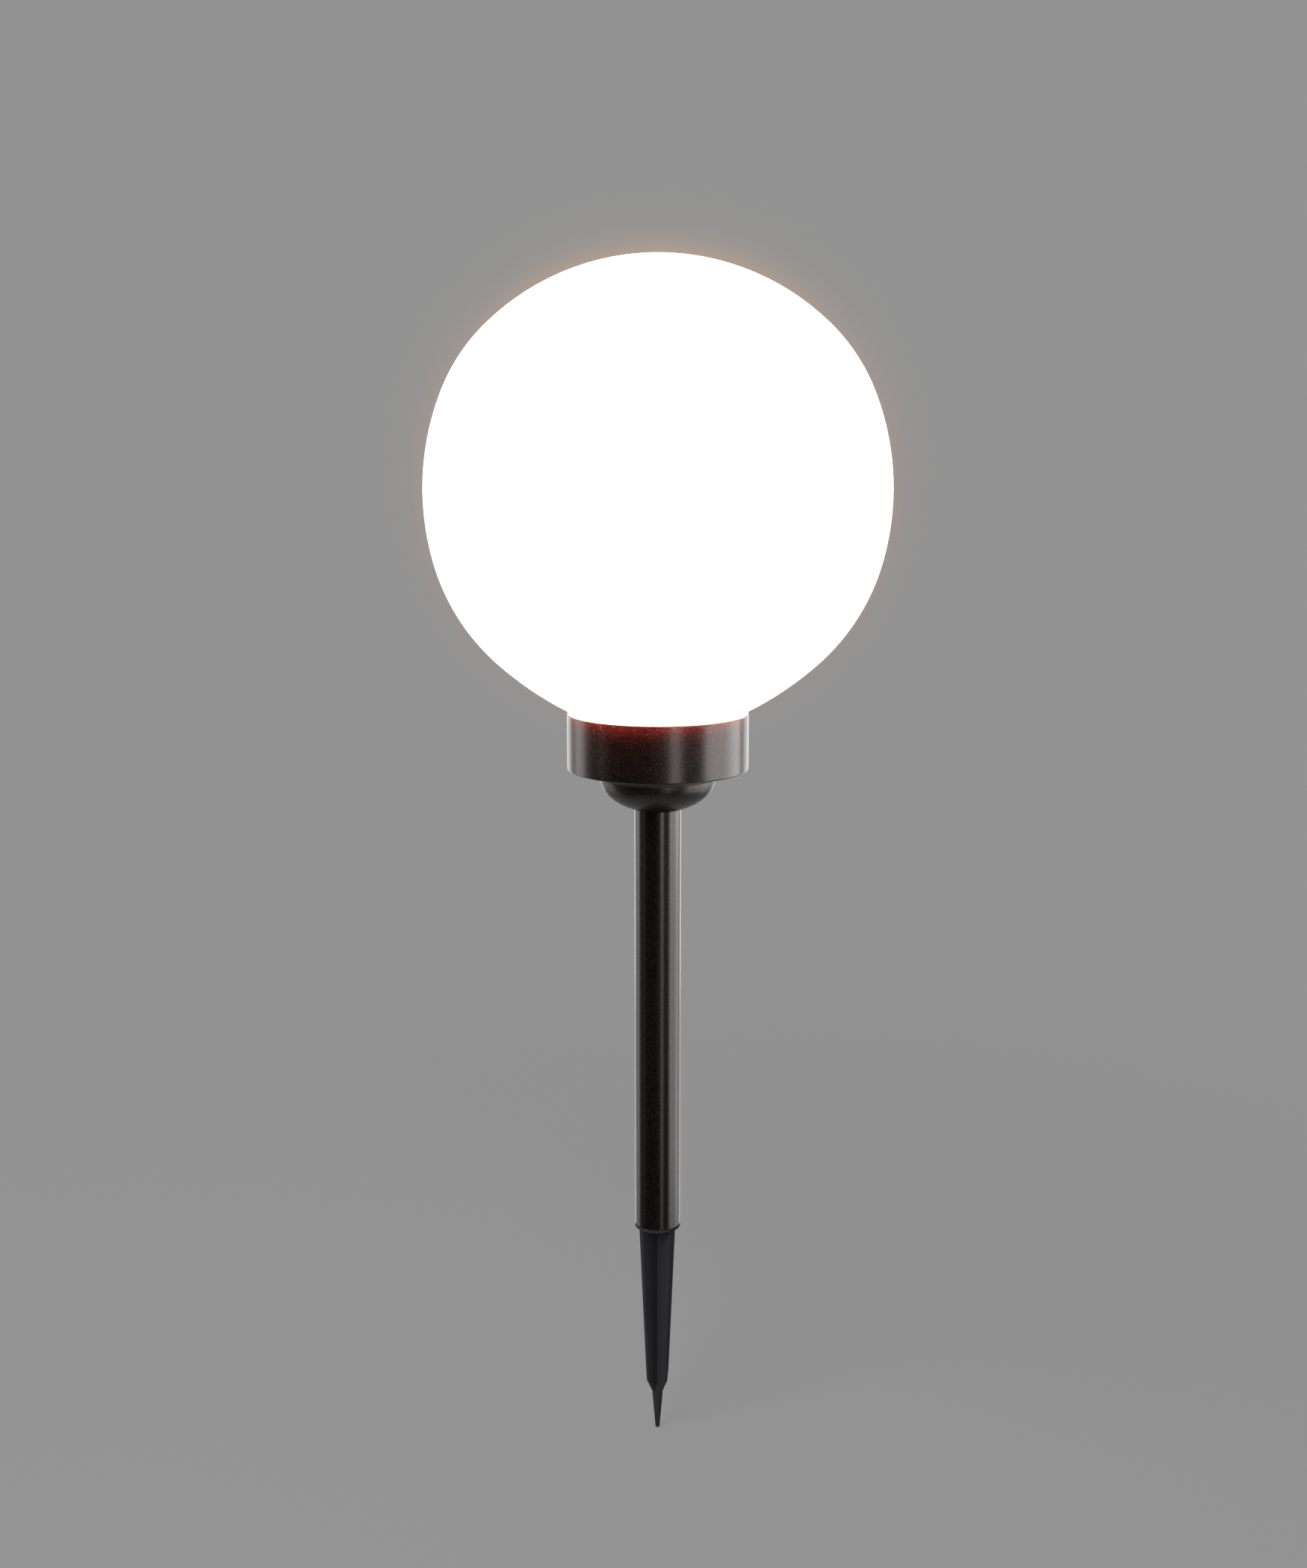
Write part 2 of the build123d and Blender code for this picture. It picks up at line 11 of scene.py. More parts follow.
import bpy
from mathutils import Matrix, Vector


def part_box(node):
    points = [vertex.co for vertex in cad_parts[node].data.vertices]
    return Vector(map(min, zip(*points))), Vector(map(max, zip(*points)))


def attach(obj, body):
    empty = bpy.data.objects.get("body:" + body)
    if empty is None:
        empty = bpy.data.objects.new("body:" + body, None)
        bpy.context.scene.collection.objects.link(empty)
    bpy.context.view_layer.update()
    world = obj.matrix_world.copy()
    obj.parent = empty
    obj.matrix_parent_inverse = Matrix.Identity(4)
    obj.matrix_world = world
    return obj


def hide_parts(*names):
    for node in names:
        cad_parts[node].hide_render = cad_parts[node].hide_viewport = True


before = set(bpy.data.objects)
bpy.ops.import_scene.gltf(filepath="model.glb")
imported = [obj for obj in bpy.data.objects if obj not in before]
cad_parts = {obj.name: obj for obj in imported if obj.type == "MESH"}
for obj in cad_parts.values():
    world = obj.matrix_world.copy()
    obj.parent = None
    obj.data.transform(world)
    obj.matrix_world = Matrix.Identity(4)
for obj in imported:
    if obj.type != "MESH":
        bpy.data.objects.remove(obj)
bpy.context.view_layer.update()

bl_info = {
    "name": "Garden globe light",
    "version": (1, 0, 0),
    "blender": (4, 5, 0),
    "location": "3D View > Sidebar > Globe light",
    "description": "Finishes and studio for a solar garden globe light",
    "category": "Object",
}

MM = 0.001
GLOBE_RADIUS, GLOBE_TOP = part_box("globe")[1].x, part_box("globe")[1].z
GLOBE_CENTRE = GLOBE_TOP - GLOBE_RADIUS
COLLAR_BOTTOM, COLLAR_RIM = (corner.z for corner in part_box("collar_shell"))
BOWL_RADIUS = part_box("bowl_cap")[1].x
STAKE_TIP, PLUG_TOP = (corner.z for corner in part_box("ground_stake"))
POLE_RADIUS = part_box("pole_tube")[1].x


def linear(code):
    """An sRGB hex colour as linear red, green and blue."""
    parts = [int(code[i:i + 2], 16) / 255 for i in (0, 2, 4)]
    return [p / 12.92 if p <= 0.04045 else ((p + 0.055) / 1.055) ** 2.4 for p in parts]


def colour_property(name, description, code):
    """A colour that a user may change, given as an sRGB hex value."""
    return bpy.props.FloatVectorProperty(
        name=name, description=description, default=linear(code),
        size=3, min=0, max=1, subtype="COLOR")


class GlobeLightFinish(bpy.types.PropertyGroup):
    """Colours and surface sizes of the light's materials."""

    bronze: colour_property("Bronze coat", "Metallic powder coat of collar and pole", "231e1b")
    bowl: colour_property("Bowl coat", "Metallic powder coat of the bowl", "3d342b")
    # The flakes' colour is matt, so it shows as a painted glint whichever way a flake faces.
    gold: colour_property("Flakes", "Metal flakes in the bronze coat", "4f4437")
    stake: colour_property("Stake", "Matt black plastic of the stake", "2b2b2e")
    plastic: colour_property("Black plastic", "Mouldings inside the head", "1b1b1c")
    opal: colour_property("Opal plastic", "Body colour of the globe", "f7f3ea")
    glow: colour_property("Glow", "Light that the globe gives", "fff1dc")
    glow_level: bpy.props.FloatProperty(
        name="Glow level", description="Strength of the globe's light, where 1 is white",
        default=1.4, min=0, max=10)
    flake: bpy.props.FloatProperty(
        name="Flake spacing", description="Distance between places for flakes in the bronze coat",
        default=0.4 * MM, min=0.05 * MM, max=2 * MM, unit="LENGTH")


class GlobeLightStudio(bpy.types.PropertyGroup):
    """Camera, background and the colours of the light round the globe."""

    background: colour_property("Background", "Colour of floor and backdrop", "929292")
    halo_top: colour_property("Halo at the top", "Glow in the air above the globe", "ffa600")
    halo_foot: colour_property("Halo at the foot", "Glow in the air below the globe", "ff2700")
    seat: colour_property("Seat light", "Light that leaks out at the globe's seat", "ff594e")
    lens: bpy.props.FloatProperty(
        name="Focal length", description="Focal length on a 36 mm sensor",
        default=41.14, min=10, max=200, unit="CAMERA")
    camera_distance: bpy.props.FloatProperty(
        name="Camera distance", description="From the pole's axis to the camera",
        default=0.7771, min=0.3, max=5, unit="LENGTH")
    camera_height: bpy.props.FloatProperty(
        name="Camera height", description="Above the ground line",
        default=0.3558, min=0, max=3, unit="LENGTH")
    camera_side: bpy.props.FloatProperty(
        name="Camera offset", description="To the right of the pole's axis",
        default=-1.9 * MM, min=-1, max=1, unit="LENGTH")
    camera_pitch: bpy.props.FloatProperty(
        name="Camera pitch", description="How far the camera looks down",
        default=math.radians(10.8), min=0, max=math.radians(60), unit="ROTATION")


# --------------------------------------------------------------------- materials
CLOUD_SCALE = 60.0         # broad clouds of shade, about 17 mm across
GLOSS_SPREAD = 0.05        # how far a surface's roughness strays to either side
COAT_GRAIN = 0.7           # millimetres between the grains of the bronze coat


def add_node(tree, kind, inputs=None, **settings):
    """Add a node with its settings, and fill or link its inputs by name or number."""
    made = tree.nodes.new(kind)
    for name, value in settings.items():
        setattr(made, name, value)
    for key, value in (inputs or {}).items():
        if isinstance(value, bpy.types.NodeSocket):
            tree.links.new(value, made.inputs[key])
        else:
            made.inputs[key].default_value = value
    return made


def rgba(colour, factor=1.0):
    """A linear colour as a socket's four numbers, made lighter or darker by a factor."""
    return [min(part * factor, 1.0) for part in colour[:3]] + [1.0]


def new_tree(name):
    """A material with an empty node tree."""
    material = bpy.data.materials.new(name)
    material.use_nodes = True
    material.node_tree.nodes.clear()
    return material, material.node_tree


def surface(name, colour, roughness, grain, relief, tint=0.1, **sockets):
    """A material whose colour, roughness and relief vary at a grain size in millimetres.

    Relief is in millimetres too, and tint is how far the colour strays to either side.
    Returns the material, its node tree, its shader and the place its patterns read.
    """
    material, tree = new_tree(name)
    place = add_node(tree, "ShaderNodeTexCoord").outputs["Object"]
    fine = add_node(tree, "ShaderNodeTexNoise", {
        "Vector": place, "Scale": 1 / (grain * MM), "Detail": 4.0,
        "Roughness": 0.6}).outputs["Fac"]
    broad = add_node(tree, "ShaderNodeTexNoise", {
        "Vector": place, "Scale": CLOUD_SCALE, "Detail": 3.0}).outputs["Fac"]
    both = add_node(tree, "ShaderNodeMath", {0: fine, 1: broad}, operation="MULTIPLY").outputs[0]
    shade = add_node(tree, "ShaderNodeMapRange", {
        "Value": both, "From Min": 0.12, "From Max": 0.38}).outputs[0]
    shades = add_node(tree, "ShaderNodeMixRGB", {
        "Fac": shade, "Color1": rgba(colour, 1 - tint), "Color2": rgba(colour, 1 + tint)})
    gloss = add_node(tree, "ShaderNodeMapRange", {
        "Value": fine, "From Min": 0.3, "From Max": 0.7,
        "To Min": roughness - GLOSS_SPREAD, "To Max": roughness + GLOSS_SPREAD}).outputs[0]
    bump = add_node(tree, "ShaderNodeBump", {
        "Height": fine, "Distance": relief * MM}).outputs["Normal"]
    shader = add_node(tree, "ShaderNodeBsdfPrincipled", {
        "Base Color": shades.outputs["Color"], "Roughness": gloss, "Normal": bump})
    for socket, value in sockets.items():
        shader.inputs[socket.replace("_", " ")].default_value = value
    add_node(tree, "ShaderNodeOutputMaterial", {"Surface": shader.outputs["BSDF"]})
    return material, tree, shader, place


def mark(tree, shader, where, colour, metallic=None):
    """Recolour the surface where a mask is 1, and change its share of bare metal if asked."""
    under = shader.inputs["Base Color"].links[0].from_socket
    mixed = add_node(tree, "ShaderNodeMixRGB", {
        "Fac": where, "Color1": under, "Color2": rgba(colour)})
    tree.links.new(mixed.outputs["Color"], shader.inputs["Base Color"])
    if metallic is not None:
        metal = add_node(tree, "ShaderNodeMapRange", {
            "Value": where, "To Min": shader.inputs["Metallic"].default_value,
            "To Max": metallic})
        tree.links.new(metal.outputs[0], shader.inputs["Metallic"])


def stretch(tree, place, axis, low, high):
    """A mask that is 1 between two places along an axis, in metres."""
    along = add_node(tree, "ShaderNodeSeparateXYZ", {0: place}).outputs[axis]
    off_middle = add_node(tree, "ShaderNodeMath", {0: along, 1: (low + high) / 2},
                          operation="SUBTRACT").outputs[0]
    away = add_node(tree, "ShaderNodeMath", {0: off_middle}, operation="ABSOLUTE").outputs[0]
    return add_node(tree, "ShaderNodeMath", {0: away, 1: (high - low) / 2},
                    operation="LESS_THAN").outputs[0]


def dress(material, *nodes):
    """Give CAD nodes their finish."""
    for name in nodes:
        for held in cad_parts[name].material_slots:
            held.material = material


def bronze_coat(finish, name, colour, satin, clear, sparkle):
    """Metallic bronze powder under a clear coat: nearly black, with a sparkle of golden flakes.

    Satin is the clear coat's roughness, clear its weight, and sparkle the share of the
    flakes' colour that shows. The flakes are matt golden dots, a painted glint that shows
    whichever way they face. Real flakes are under 0.1 mm across and are drawn about
    0.3 mm across here, so that they still show in a whole view.
    """
    material, tree, shader, place = surface(
        name, colour, 0.42, COAT_GRAIN, 0.003,
        Metallic=0.7, Coat_Weight=clear, Coat_Roughness=satin)
    grains = add_node(tree, "ShaderNodeTexNoise", {
        "Vector": place, "Scale": 1 / (COAT_GRAIN * MM), "Detail": 2.0}).outputs["Fac"]
    # The clear coat follows the grains a little, and the powder is darker between them.
    peel = add_node(tree, "ShaderNodeBump", {"Height": grains, "Distance": 0.02 * MM})
    tree.links.new(peel.outputs["Normal"], shader.inputs["Coat Normal"])
    pits = add_node(tree, "ShaderNodeMapRange", {
        "Value": grains, "From Min": 0.54, "From Max": 0.36}).outputs[0]
    mark(tree, shader, pits, rgba(colour, 0.25))
    # Some of the places for a flake hold one, few of them a bright one. Each flake is matt gold
    # paint, a painted glint that shows whichever way it faces.
    flakes = add_node(tree, "ShaderNodeTexVoronoi", {"Vector": place, "Scale": 1 / finish.flake})
    lot = add_node(tree, "ShaderNodeSeparateColor", {"Color": flakes.outputs["Color"]})
    picked = add_node(tree, "ShaderNodeMapRange", {
        "Value": lot.outputs["Red"], "From Min": 0.4, "From Max": 1.0}).outputs[0]
    picked = add_node(tree, "ShaderNodeMath", {0: picked, 1: 1.5}, operation="POWER").outputs[0]
    dot = add_node(tree, "ShaderNodeMapRange", {
        "Value": flakes.outputs["Distance"], "From Min": 0.5, "From Max": 0.2}).outputs[0]
    painted_flake_glint = add_node(tree, "ShaderNodeMath", {0: picked, 1: dot}, operation="MULTIPLY").outputs[0]
    mark(tree, shader, painted_flake_glint, rgba(finish.gold, sparkle), 0.0)
    return material


# ------------------------------------------------------------------------ meshes
SMOOTH_ANGLE = math.radians(38)


def loft(rings, low_end, high_end):
    """Points and faces of a closed skin over rings of one count, between two end points."""
    count = len(rings[0])
    points = [low_end] + [point for ring in rings for point in ring] + [high_end]
    faces = [(0, 1 + (i + 1) % count, 1 + i) for i in range(count)]
    for level in range(len(rings) - 1):
        low, high = 1 + level * count, 1 + (level + 1) * count
        faces += [(low + i, low + (i + 1) % count, high + (i + 1) % count, high + i)
                  for i in range(count)]
    top, last = 1 + (len(rings) - 1) * count, len(points) - 1
    faces += [(top + i, top + (i + 1) % count, last) for i in range(count)]
    return points, faces


def circle(radius, height, steps):
    """Points round the axis at one height."""
    return [(radius * math.cos(math.tau * i / steps), radius * math.sin(math.tau * i / steps),
             height) for i in range(steps)]


def lathe(profile, steps):
    """Points and faces of a turned shape that closes on its axis, from (radius, height)s."""
    rings = [circle(radius, height, steps) for radius, height in profile]
    return loft(rings, (0, 0, profile[0][1]), (0, 0, profile[-1][1]))


def hoop(outline, steps):
    """Points and faces of a turned hoop, from a closed outline of (radius, height)s."""
    points = [point for radius, height in outline for point in circle(radius, height, steps)]
    faces = []
    for level in range(len(outline)):
        low, high = level * steps, (level + 1) % len(outline) * steps
        faces += [(low + i, low + (i + 1) % steps, high + (i + 1) % steps, high + i)
                  for i in range(steps)]
    return points, faces


def add_piece(name, shells, material, body, slot, *replaced):
    """Make one piece of closed shells, with smooth faces between its real edges."""
    points, faces = [], []
    for shell_points, shell_faces in shells:
        start = len(points)
        points += shell_points
        faces += [tuple(start + i for i in face) for face in shell_faces]
    mesh = bpy.data.meshes.new(name)
    mesh.from_pydata(points, [], faces)
    mesh.polygons.foreach_set("use_smooth", [True] * len(mesh.polygons))
    mesh.set_sharp_from_angle(angle=SMOOTH_ANGLE)
    mesh.materials.append(material)
    piece = bpy.data.objects.new(name, mesh)
    bpy.context.collection.objects.link(piece)
    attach(piece, body)
    if replaced:
        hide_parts(*replaced)


# -------------------------------------------------------------------- metal parts
BAND_LOW, BAND_HIGH = COLLAR_BOTTOM - 4.0 * MM, COLLAR_BOTTOM - 2.5 * MM
BAND_OUTSIDE, BAND_INSIDE = BOWL_RADIUS + 0.12 * MM, BOWL_RADIUS - 0.6 * MM
BAND_EDGE = 0.1 * MM


class GLOBELIGHT_OT_metalwork(bpy.types.Operator):
    """Coat the collar, the bowl and the pole in bronze, and add the band round the bowl."""

    bl_idname = "globelight.metalwork"
    bl_label = "Metalwork"

    def execute(self, context):
        finish = context.scene.globe_light_finish
        # Drawn steel, powder coated: a satin skin whose reflections are a little grainy.
        dress(bronze_coat(finish, "steel_drawn_bronze_powder_coat", finish.bronze,
                          satin=0.23, clear=1.0, sparkle=1.0), "collar_shell")
        # Welded tube, powder coated more thinly: the same coat with hardly any sparkle.
        dress(bronze_coat(finish, "steel_tube_bronze_powder_coat", finish.bronze,
                          satin=0.21, clear=1.0, sparkle=0.3), "pole_tube")
        # Cast zinc, powder coated: less clear coat, so that its reflections are warm and soft.
        dress(bronze_coat(finish, "zinc_cast_bronze_powder_coat", finish.bowl,
                          satin=0.29, clear=0.5, sparkle=0.5), "bowl_cap")
        # Nitrile rubber, cut as a thin band round the bowl: it shows as a paler matt line, and its
        # pale colour is a painted highlight for the light line under the collar's edge.
        rubber_and_highlight = surface("nitrile_rubber_band_painted_highlight", linear("443e38"), 0.6, 0.4, 0.01, IOR=1.52)[0]
        band = hoop([
            (BAND_INSIDE, BAND_LOW), (BAND_OUTSIDE - BAND_EDGE, BAND_LOW),
            (BAND_OUTSIDE, BAND_LOW + BAND_EDGE), (BAND_OUTSIDE, BAND_HIGH - BAND_EDGE),
            (BAND_OUTSIDE - BAND_EDGE, BAND_HIGH), (BAND_INSIDE, BAND_HIGH)], 128)
        add_piece("bowl_band", [band], rubber_and_highlight, "head", "gasket_rubber")
        return {"FINISHED"}


# -------------------------------------------------------------------------- globe
class GLOBELIGHT_OT_globe(bpy.types.Operator):
    """Finish the opal globe and light it."""

    bl_idname = "globelight.globe"
    bl_label = "Globe"

    def execute(self, context):
        finish = context.scene.globe_light_finish
        # Polyethylene, blow moulded: an even milky white with a faint waviness from the mould.
        opal = surface("polyethylene_blow_moulded_opal", finish.opal, 0.38, 6.0, 0.02, tint=0.02,
                       IOR=1.51, Emission_Color=rgba(finish.glow),
                       Emission_Strength=finish.glow_level)[0]
        dress(opal, "globe")
        return {"FINISHED"}


# -------------------------------------------------------------------------- stake
BLADE_TURN = math.radians(41.8)
BLADE_TOP = (10.3 * MM, 2.4 * MM)          # reach and thickness at the ring
BLADE_KNEE = (6.3 * MM, 1.7 * MM)          # the same where the blades begin to slant
SLANT_REACH = 1.55 * MM                    # reach where their slant ends, inside the point
KNEE_LEVEL, SLANT_END = -76.1 * MM, -85.6 * MM
BLADE_EDGE = 0.3 * MM
INNER_FILLET = 0.35 * MM
POINT_RADIUS, TIP_RADIUS = 2.4 * MM, 1.0 * MM
RING_HEIGHT, RING_EDGE = 1.6 * MM, 0.3 * MM
PLUG_CORE, PLUG_RADIUS, PLUG_BORE = 8.84 * MM, 9.29 * MM, 6.84 * MM
RIB_WIDTH, RIB_COUNT, RIB_LEAD, RIB_EDGE = 1.4 * MM, 6, 1.0 * MM, 0.15 * MM
POINT_STEPS, BLADE_STEPS = 6, 12
# Sections where the slanting blades run into the point: height in mm, evenness, and the
# radius of the core in mm.
KNEE_SECTIONS = (
    (-84.6, 0.5, 2.4), (-83.6, 0, 2.35), (-82.6, 0, 2.25), (-81.6, 0, 2.0),
    (-80.4, 0, 1.6), (-79, 0, 1.2), (-77.6, 0, 0), (-76.7, 0, 0))


def blade_eighth(reach, thickness):
    """An eighth of the stake's cross section: from a blade's end to an inner corner."""
    half = thickness / 2
    edge = min(BLADE_EDGE, half * 0.5)
    inner = half + INNER_FILLET
    points = [(reach, 0), (reach, half - edge), (reach - 0.3 * edge, half - 0.3 * edge),
              (reach - edge, half)]
    first, last = math.atan2(half, reach - edge), math.atan2(half, inner)
    points += [(half / math.tan(first + (last - first) * k / 5), half) for k in range(1, 6)]
    points += [(half + INNER_FILLET * (1 - t) ** 2, half + INNER_FILLET * t ** 2)
               for t in (0.25, 0.5)]
    return points


def cross_section(reach, thickness, evenness, core, height):
    """The stake's section at a height: its blades and a round core, joined.

    Evenness spaces the points from the blades' own bearings (0) to a plain circle (1).
    """
    eighth = blade_eighth(reach, thickness)
    joined = []
    for i, (x, y) in enumerate(eighth):
        turn = math.atan2(y, x)
        turn += evenness * (math.radians(45 * i / (len(eighth) - 1)) - turn)
        far = max(math.hypot(x, y) * (1 - evenness), core)
        joined.append((far * math.cos(turn), far * math.sin(turn)))
    quarter = joined + [(y, x) for x, y in reversed(joined[1:-1])]
    ring = []
    for blade in range(4):
        turn = BLADE_TURN + blade * math.pi / 2
        sine, cosine = math.sin(turn), math.cos(turn)
        ring += [(x * cosine - y * sine, x * sine + y * cosine, height) for x, y in quarter]
    return ring


def stake_body():
    """The point, the four blades, the ring and the hollow plug, as one closed shell."""
    rings = []
    tip_start = STAKE_TIP + TIP_RADIUS
    for angle in (70, 45, 20):
        turn = math.radians(angle)
        rings.append(cross_section(*BLADE_KNEE, 1, TIP_RADIUS * math.cos(turn),
                                   tip_start - TIP_RADIUS * math.sin(turn)))
    for k in range(POINT_STEPS + 1):
        rings.append(cross_section(
            *BLADE_KNEE, 1, TIP_RADIUS + (POINT_RADIUS - TIP_RADIUS) * k / POINT_STEPS,
            tip_start + (SLANT_END - tip_start) * k / POINT_STEPS))
    for level, evenness, core in KNEE_SECTIONS:
        share = (level * MM - SLANT_END) / (KNEE_LEVEL - SLANT_END)
        reach = SLANT_REACH + (BLADE_KNEE[0] - SLANT_REACH) * share
        rings.append(cross_section(reach, BLADE_KNEE[1], evenness, core * MM, level * MM))
    # The knee itself is a little rounded.
    rings.append(cross_section(BLADE_KNEE[0] - 0.08 * MM, BLADE_KNEE[1], 0, 0,
                               KNEE_LEVEL + 0.1 * MM))
    for k in range(1, BLADE_STEPS + 1):
        share = k / BLADE_STEPS
        rings.append(cross_section(
            BLADE_KNEE[0] + (BLADE_TOP[0] - BLADE_KNEE[0]) * share,
            BLADE_KNEE[1] + (BLADE_TOP[1] - BLADE_KNEE[1]) * share,
            0, 0, KNEE_LEVEL * (1 - share)))
    # The ring, then the plug's outside, its top and its bore.
    turns = [math.atan2(y, x) for x, y, z in rings[-1]]
    for radius, height in (
            (POLE_RADIUS - 0.03 * MM, 0), (POLE_RADIUS, 0.12 * MM),
            (POLE_RADIUS, RING_HEIGHT - RING_EDGE),
            (POLE_RADIUS - 0.3 * RING_EDGE, RING_HEIGHT - 0.3 * RING_EDGE),
            (POLE_RADIUS - RING_EDGE, RING_HEIGHT),
            (PLUG_CORE, RING_HEIGHT), (PLUG_CORE, PLUG_TOP - RING_EDGE),
            (PLUG_CORE - RING_EDGE, PLUG_TOP), (PLUG_BORE + RING_EDGE, PLUG_TOP),
            (PLUG_BORE, PLUG_TOP - RING_EDGE), (PLUG_BORE, RING_HEIGHT)):
        rings.append([(radius * math.cos(turn), radius * math.sin(turn), height)
                      for turn in turns])
    return loft(rings, (0, 0, STAKE_TIP), (0, 0, RING_HEIGHT))


def plug_rib(turn):
    """One rib on the stake's plug, sunk a little into it, with a slanting lead at its top."""
    half, root = RIB_WIDTH / 2, PLUG_CORE - 0.3 * MM
    rings = []
    for height, top in ((RING_HEIGHT, PLUG_RADIUS), (PLUG_TOP - RIB_LEAD * 1.6, PLUG_RADIUS),
                        (PLUG_TOP - RIB_LEAD, PLUG_CORE + 0.1 * MM)):
        outline = [(root, -half), (top - RIB_EDGE, -half), (top, -half + RIB_EDGE),
                   (top, half - RIB_EDGE), (top - RIB_EDGE, half), (root, half)]
        rings.append([(r * math.cos(turn) - s * math.sin(turn),
                       r * math.sin(turn) + s * math.cos(turn), height) for r, s in outline])
    middle = (root + PLUG_CORE) / 2
    ends = [(middle * math.cos(turn), middle * math.sin(turn), height)
            for height in (RING_HEIGHT, PLUG_TOP - RIB_LEAD)]
    return loft(rings, *ends)


class GLOBELIGHT_OT_stake(bpy.types.Operator):
    """Build the moulded stake with its blades, ring and ribbed plug."""

    bl_idname = "globelight.stake"
    bl_label = "Ground stake"

    def execute(self, context):
        # Polypropylene, moulded with a spark-eroded texture: matt, with a soft dry sheen.
        matt = surface("polypropylene_moulded_matt_black", context.scene.globe_light_finish.stake,
                       0.62, 0.5, 0.012, IOR=1.49, Specular_IOR_Level=0.3)[0]
        ribs = [plug_rib(math.tau * k / RIB_COUNT) for k in range(RIB_COUNT)]
        add_piece("stake_moulding", [stake_body(), *ribs], matt, "stake", "stake_plastic",
                  "ground_stake")
        return {"FINISHED"}


# ------------------------------------------------------------ mouldings and seals
class GLOBELIGHT_OT_mouldings(bpy.types.Operator):
    """Finish the black mouldings and the seals of the lamp housing."""

    bl_idname = "globelight.mouldings"
    bl_label = "Housing mouldings and seals"

    def execute(self, context):
        # ABS, moulded in a lightly etched tool: deep black with a low sheen.
        dress(surface("abs_moulded_black", context.scene.globe_light_finish.plastic,
                      0.42, 0.6, 0.01, IOR=1.53)[0],
              "base_plate", "lamp_housing", "pole_adaptor")
        # Silicone rubber, moulded: dull grey, slightly dusty to the eye.
        dress(surface("silicone_rubber_moulded_grey", linear("3a3b3c"), 0.62, 0.4, 0.02,
                      IOR=1.41)[0], "housing_gasket", "neck_gasket")
        return {"FINISHED"}


# ------------------------------------------------------------------------- screws
# Head radius, head height and shank radius of the two sizes of screw.
HEAD_SCREW = (2.7 * MM, 1.8 * MM, 1.45 * MM)
BOARD_SCREW = (1.8 * MM, 1.2 * MM, 0.95 * MM)
BOWL_SCREW_CIRCLE, HOUSING_SCREW_CIRCLE, BOARD_SCREW_SIDE = 20.2 * MM, 31 * MM, 10.5 * MM


def screw(x, y, seat, up, head_radius, head_height, shank_radius, length):
    """A pan-head screw with a cross recess and a thread, as two closed shells.

    The head lies on the seat and stands up (1) or hangs down (-1) from it.
    """
    steps = 48
    reach, half_slot, depth = head_radius * 0.5, head_radius * 0.14, head_height * 0.5
    rings = [circle(head_radius * wide, head_height * high, steps) for wide, high in (
        (0.96, 0), (1, 0.15), (1, 0.45), (0.96, 0.68), (0.86, 0.85), (0.7, 0.95))]
    for k in range(10, 0, -1):
        ring = []
        for across, along, _ in circle(head_radius * 0.58 * k / 10, 0, steps):
            inside = max(min(half_slot - abs(across), reach - abs(along)),
                         min(half_slot - abs(along), reach - abs(across)))
            sunk = depth * min(max(inside / (half_slot * 0.4), 0), 1)
            ring.append((across, along, head_height * (1 - 0.02 * k / 10) - sunk))
        rings.append(ring)
    head = loft(rings, (0, 0, 0), (0, 0, head_height - depth))
    pitch = shank_radius * 0.75
    turns = int(length / pitch)
    profile = [(shank_radius * 0.35, -length)]
    profile += [(shank_radius * (1.0 if k % 2 else 0.78), -length + (k + 1) * pitch / 2)
                for k in range(2 * turns - 3)]
    profile.append((shank_radius * 0.85, 0.3 * head_height))
    shells = []
    for points, faces in (head, lathe(profile, 24)):
        points = [(x + p[0], y + p[1], seat + up * p[2]) for p in points]
        shells.append((points, faces if up > 0 else [face[::-1] for face in faces]))
    return shells


def on_circle(radius, bearings):
    """Places on a circle round the axis, at bearings from +X in degrees."""
    return [(radius * math.cos(math.radians(turn)), radius * math.sin(math.radians(turn)))
            for turn in bearings]


def add_screws(name, node, places, up, sizes, zinc):
    """Replace a node's screws, whose heads stand up (1) or hang down (-1), at their places."""
    low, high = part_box(node)
    head_height = sizes[1]
    seat = high.z - head_height if up > 0 else low.z + head_height
    shells = []
    for x, y in places:
        shells += screw(x, y, seat, up, *sizes, high.z - head_height - low.z)
    add_piece(name, shells, zinc, "head", "screw_steel", node)


class GLOBELIGHT_OT_screws(bpy.types.Operator):
    """Build the pan-head screws that hold the head and its board together."""

    bl_idname = "globelight.screws"
    bl_label = "Screws"

    def execute(self, context):
        # Steel, zinc plated: bright with a slight blue-grey bloom.
        zinc = surface("steel_zinc_plated", linear("b4b7bb"), 0.3, 0.3, 0.004, Metallic=1.0)[0]
        add_screws("bowl_pan_screws", "bowl_screws",
                   on_circle(BOWL_SCREW_CIRCLE, (45, 135, 225, 315)), 1, HEAD_SCREW, zinc)
        add_screws("housing_pan_screws", "housing_screws",
                   on_circle(HOUSING_SCREW_CIRCLE, (25, 155, 205, 335)), -1, HEAD_SCREW, zinc)
        low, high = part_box("board_screws")
        middle = (low.y + high.y) / 2
        add_screws("board_pan_screws", "board_screws",
                   ((-BOARD_SCREW_SIDE, middle), (BOARD_SCREW_SIDE, middle)), 1, BOARD_SCREW, zinc)
        return {"FINISHED"}


